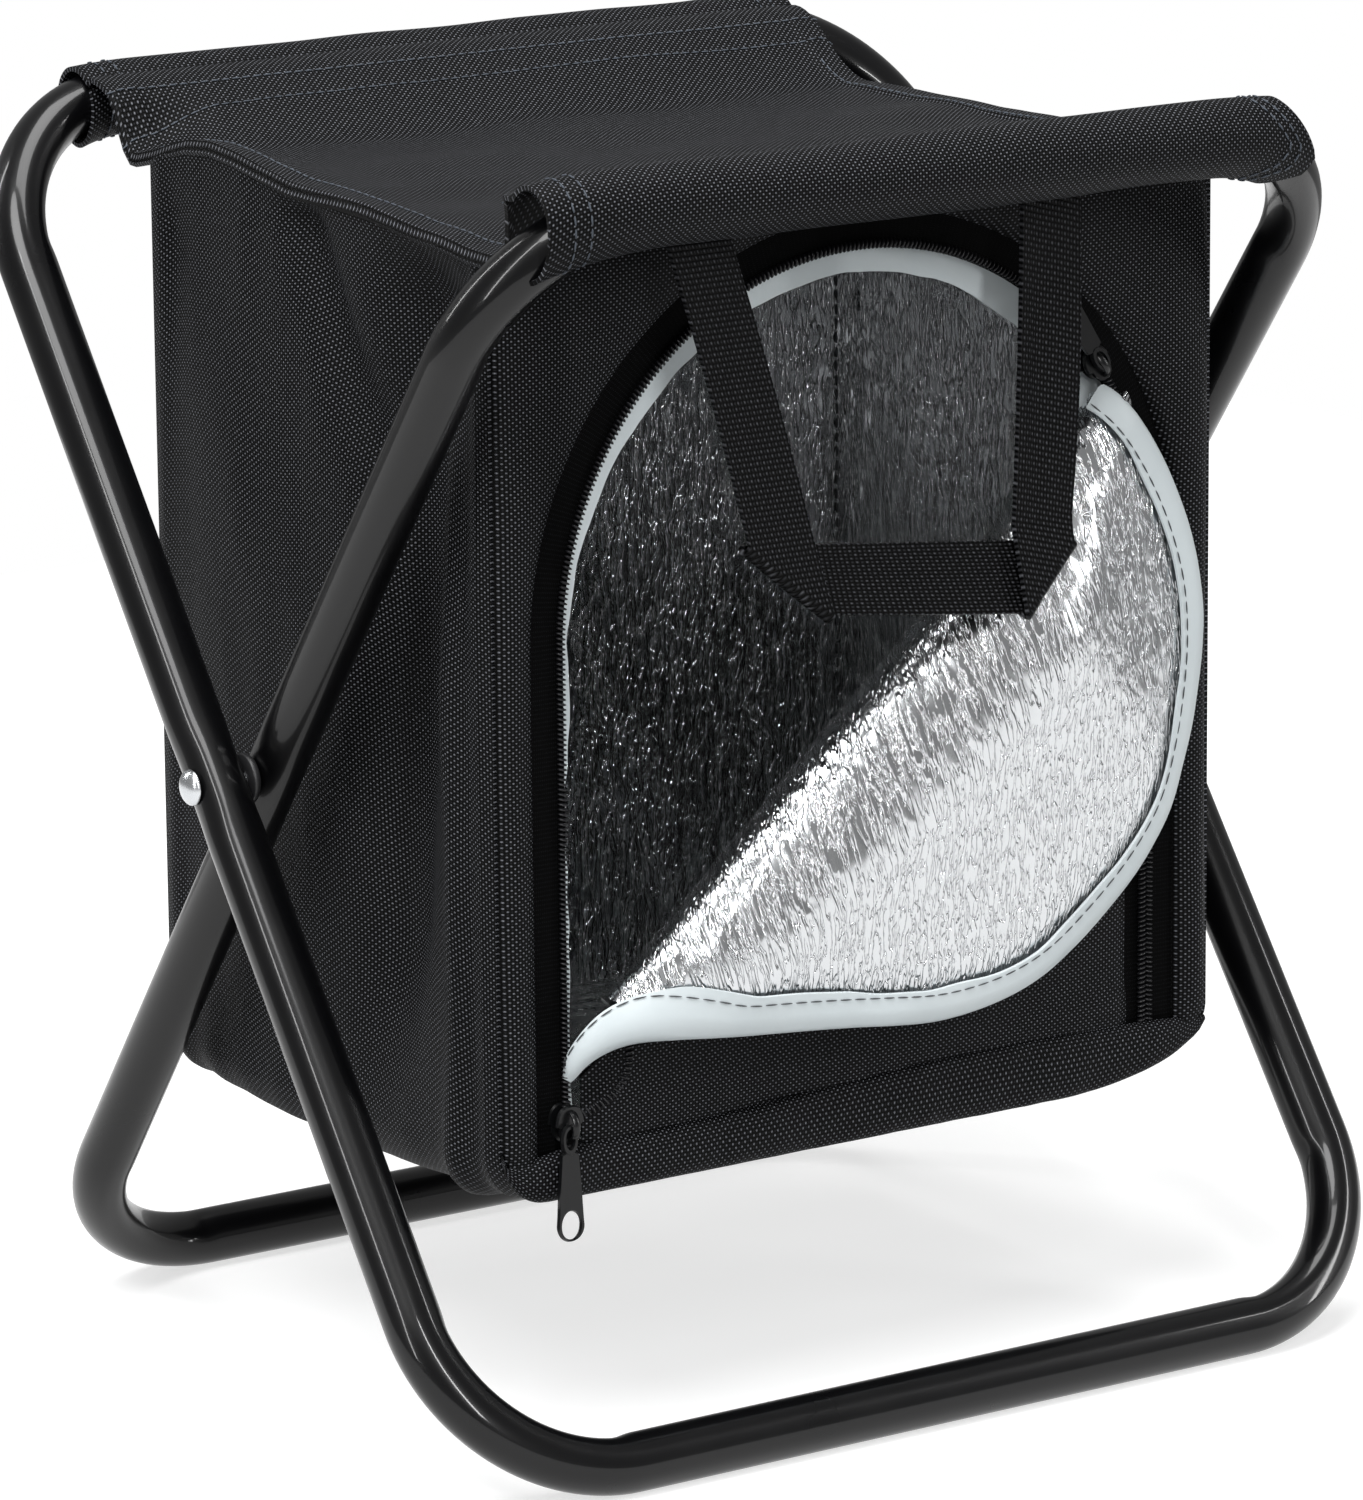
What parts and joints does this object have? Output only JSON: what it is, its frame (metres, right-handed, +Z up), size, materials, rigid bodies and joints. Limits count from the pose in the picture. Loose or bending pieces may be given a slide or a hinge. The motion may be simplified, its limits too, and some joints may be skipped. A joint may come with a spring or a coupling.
{
  "type": "folding cooler stool",
  "caption": "Folding stool on crossed bent-tube legs with a slung cloth seat and an insulated cooler bag beneath, opened by an arched zip flap at the front.",
  "frame": {"origin": "on the floor, midway between the ground rails, under the crossing of the legs", "axes": "+Z up, +X along the seat rails to the right seen from the front, -Y towards the front with the zip flap"},
  "size_m": [0.3248, 0.2658, 0.3527],
  "materials": {
    "tube_black": "semi-gloss black powder coat",
    "zinc": "bright zinc plate",
    "nylon": "black moulded nylon",
    "oxford": "black coated oxford polyester",
    "foil": "embossed aluminium foil on foam",
    "vinyl": "pale vinyl binding tape",
    "zip_tape": "black woven zip tape with nylon coil",
    "slider": "black enamelled die-cast zinc",
    "pull": "gunmetal plated zinc",
    "webbing": "black ribbed polypropylene webbing"
  },
  "bodies": {
    "outer_frame": {"outer_tube": "tube_black", "outer_tube_joiner": "zinc", "pivot_rivet_left": "zinc", "pivot_rivet_right": "zinc", "pivot_spacer_left": "nylon", "pivot_spacer_right": "nylon", "rear_sleeve": "oxford"},
    "inner_frame": {"inner_tube": "tube_black", "inner_tube_joiner": "zinc", "front_sleeve": "oxford"},
    "bag": {"seat_panel": "oxford", "seat_liner": "foil", "left_gusset": "oxford", "right_gusset": "oxford", "left_liner": "foil", "right_liner": "foil", "bottom_panel": "oxford", "bottom_liner": "foil"},
    "front_wall": {"front_panel": "oxford", "front_liner": "foil", "opening_binding": "vinyl", "zip_tape": "zip_tape", "flap_lower": "oxford", "flap_lower_liner": "foil", "flap_lower_tape": "zip_tape"},
    "rear_wall": {"rear_panel": "oxford", "rear_liner": "foil"},
    "flap": {"flap_panel": "oxford", "flap_liner": "foil", "flap_binding": "vinyl", "flap_zip_tape": "zip_tape"},
    "handle": {"carry_handle": "webbing"},
    "left_slider": {"zip_slider_left": "slider"},
    "left_pull": {"zip_pull_left": "pull"},
    "right_slider": {"zip_slider_right": "slider"},
    "right_pull": {"zip_pull_right": "pull"}
  },
  "joints": [
    {"name": "fold", "type": "hinge", "parent": "outer_frame", "child": "inner_frame", "pos_m": [0, 0, 0.1755], "axis": [-1, 0, 0], "range_deg": [0, 64], "deforming": ["seat_panel", "seat_liner", "left_gusset", "right_gusset", "left_liner", "right_liner", "bottom_panel", "bottom_liner"]},
    {"name": "bag_swing", "type": "hinge", "parent": "outer_frame", "child": "bag", "pos_m": [0, 0.0378, 0.1646], "axis": [-1, 0, 0], "range_deg": [0, 32.5]},
    {"name": "front_wall_close", "type": "slide", "parent": "bag", "child": "front_wall", "axis": [0, 1, 0], "range_m": [0, 0.0765]},
    {"name": "rear_wall_close", "type": "slide", "parent": "bag", "child": "rear_wall", "axis": [0, -1, 0], "range_m": [0, 0.0765]},
    {"name": "flap_fold", "type": "hinge", "parent": "front_wall", "child": "flap", "pos_m": [-0.097, -0.0955, 0.123], "axis": [-0.766, 0, -0.6428], "range_deg": [0, 187], "deforming": ["flap_panel", "flap_liner", "flap_binding", "flap_zip_tape"]},
    {"name": "handle_swing", "type": "hinge", "parent": "inner_frame", "child": "handle", "pos_m": [0, -0.113, 0.331], "axis": [-1, 0, 0], "range_deg": [0, 85]},
    {"name": "left_slider_run", "type": "slide", "parent": "front_wall", "child": "left_slider", "axis": [0, 0, 1], "range_m": [0, 0.085]},
    {"name": "left_pull_swing", "type": "hinge", "parent": "left_slider", "child": "left_pull", "pos_m": [-0.096, -0.0882, 0.094], "axis": [-1, 0, 0], "range_deg": [0, 150]},
    {"name": "right_slider_run", "type": "hinge", "parent": "front_wall", "child": "right_slider", "pos_m": [0, -0.0843, 0.22], "axis": [0, -1, 0], "range_deg": [0, 130]},
    {"name": "right_pull_swing", "type": "hinge", "parent": "right_slider", "child": "right_pull", "pos_m": [0.07717, -0.0882, 0.2771], "axis": [0.8039, 0, 0.5948], "range_deg": [0, 150]}
  ],
  "couplings": [
    {"joint": "bag_swing", "follows": "fold", "ratio": 0.5},
    {"joint": "front_wall_close", "follows": "fold", "m_per_rad": 0.068},
    {"joint": "rear_wall_close", "follows": "fold", "m_per_rad": 0.068}
  ]
}
